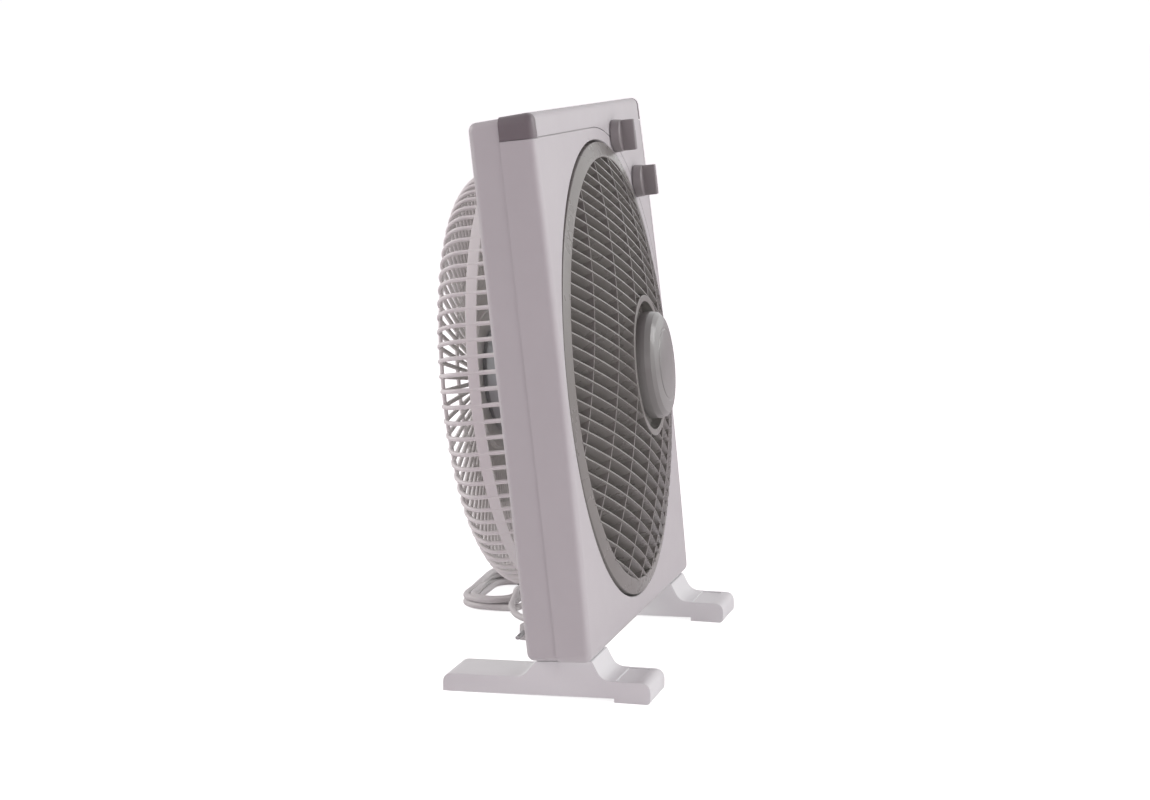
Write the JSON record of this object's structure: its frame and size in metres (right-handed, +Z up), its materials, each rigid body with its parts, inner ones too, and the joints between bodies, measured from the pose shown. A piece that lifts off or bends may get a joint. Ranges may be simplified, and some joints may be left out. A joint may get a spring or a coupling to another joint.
{
  "type": "box fan",
  "caption": "Portable box fan with a square moulded casing leaning back on feet, a slowly turning slatted louvre, a caged motor at the back, rotary controls and a mains cord",
  "frame": {"origin": "on the floor, in the middle of the footprint without the cord", "axes": "+Z up, front towards -Y, the side with the knobs towards +X"},
  "size_m": [0.4125, 0.2223, 0.4254],
  "materials": {
    "white_plastic": "moulded white plastic, low gloss",
    "grille_plastic": "white moulded plastic of the rear grille",
    "louvre_grey_plastic": "mid-grey moulded plastic, satin",
    "dark_grey_plastic": "dark grey moulded plastic, satin",
    "cap_grey_plastic": "dark grey plastic with a soft shine",
    "blade_plastic": "smoky grey plastic of the blades",
    "bright_steel": "bright steel",
    "motor_laminations": "stacked iron sheets",
    "enamelled_copper": "enamelled copper wire",
    "oilite_bronze": "sintered bronze",
    "motor_cover_zinc": "plated cover",
    "black_plastic": "black plastic",
    "roller_rubber": "black rubber",
    "cord_white": "white PVC cord and plug"
  },
  "bodies": {
    "casing": {"bush_front": "oilite_bronze", "bush_rear": "oilite_bronze", "cap_carrier": "louvre_grey_plastic", "centre_cap": "cap_grey_plastic", "control_panel": "white_plastic", "cord_hank": "cord_white", "cord_tie": "black_plastic", "corner_cap_left": "dark_grey_plastic", "corner_cap_right": "dark_grey_plastic", "foot_left": "white_plastic", "foot_right": "white_plastic", "foot_screw_left_1": "bright_steel", "foot_screw_left_2": "bright_steel", "foot_screw_right_1": "bright_steel", "foot_screw_right_2": "bright_steel", "front_shell": "white_plastic", "grille_screw_1": "bright_steel", "grille_screw_2": "bright_steel", "grille_screw_3": "bright_steel", "grille_screw_4": "bright_steel", "louvre_motor": "bright_steel", "louvre_screw": "bright_steel", "louvre_spider": "louvre_grey_plastic", "motor_front_cover": "motor_cover_zinc", "motor_rear_cover": "motor_cover_zinc", "motor_screw_1": "bright_steel", "motor_screw_2": "bright_steel", "motor_stator": "motor_laminations", "plug": "cord_white", "plug_lead": "cord_white", "plug_pin_1": "bright_steel", "plug_pin_2": "bright_steel", "power_cord": "cord_white", "rear_grille": "grille_plastic", "rear_shell": "white_plastic", "run_capacitor": "motor_cover_zinc", "shell_screw_1": "bright_steel", "shell_screw_2": "bright_steel", "shell_screw_3": "bright_steel", "shell_screw_4": "bright_steel", "speed_switch": "black_plastic", "strain_relief": "cord_white", "timer": "bright_steel", "winding_front": "enamelled_copper", "winding_rear": "enamelled_copper"},
    "impeller_unit": {"impeller": "blade_plastic", "spinner_nut": "black_plastic", "motor_shaft": "bright_steel", "motor_rotor": "motor_laminations"},
    "louvre_unit": {"louvre": "louvre_grey_plastic"},
    "drive_roller": {"louvre_roller": "black_plastic", "roller_tyre": "roller_rubber", "roller_spindle": "bright_steel"},
    "speed_knob_unit": {"speed_switch_knob": "dark_grey_plastic", "speed_switch_spindle": "bright_steel"},
    "timer_knob_unit": {"timer_knob": "dark_grey_plastic", "timer_spindle": "bright_steel"}
  },
  "joints": [
    {"name": "impeller_spin", "type": "hinge", "parent": "casing", "child": "impeller_unit", "pos_m": [0, -0.02639, 0.22274], "axis": [0, 0.9914, -0.1305], "continuous": true},
    {"name": "louvre_spin", "type": "hinge", "parent": "casing", "child": "louvre_unit", "pos_m": [0, -0.02639, 0.22274], "axis": [0, 0.9914, -0.1305], "continuous": true},
    {"name": "drive_roller_spin", "type": "hinge", "parent": "casing", "child": "drive_roller", "pos_m": [-0.13018, -0.04339, 0.09367], "axis": [0, 0.9914, -0.1305], "continuous": true},
    {"name": "speed_knob_turn", "type": "hinge", "parent": "casing", "child": "speed_knob_unit", "pos_m": [0.07162, -0.00326, 0.3985], "axis": [0, 0.9914, -0.1305], "range_deg": [0, 135]},
    {"name": "timer_knob_turn", "type": "hinge", "parent": "casing", "child": "timer_knob_unit", "pos_m": [0.13234, -0.00838, 0.35956], "axis": [0, 0.9914, -0.1305], "range_deg": [0, 300]}
  ],
  "couplings": [
    {"joint": "drive_roller_spin", "follows": "louvre_spin", "ratio": -21.975}
  ]
}
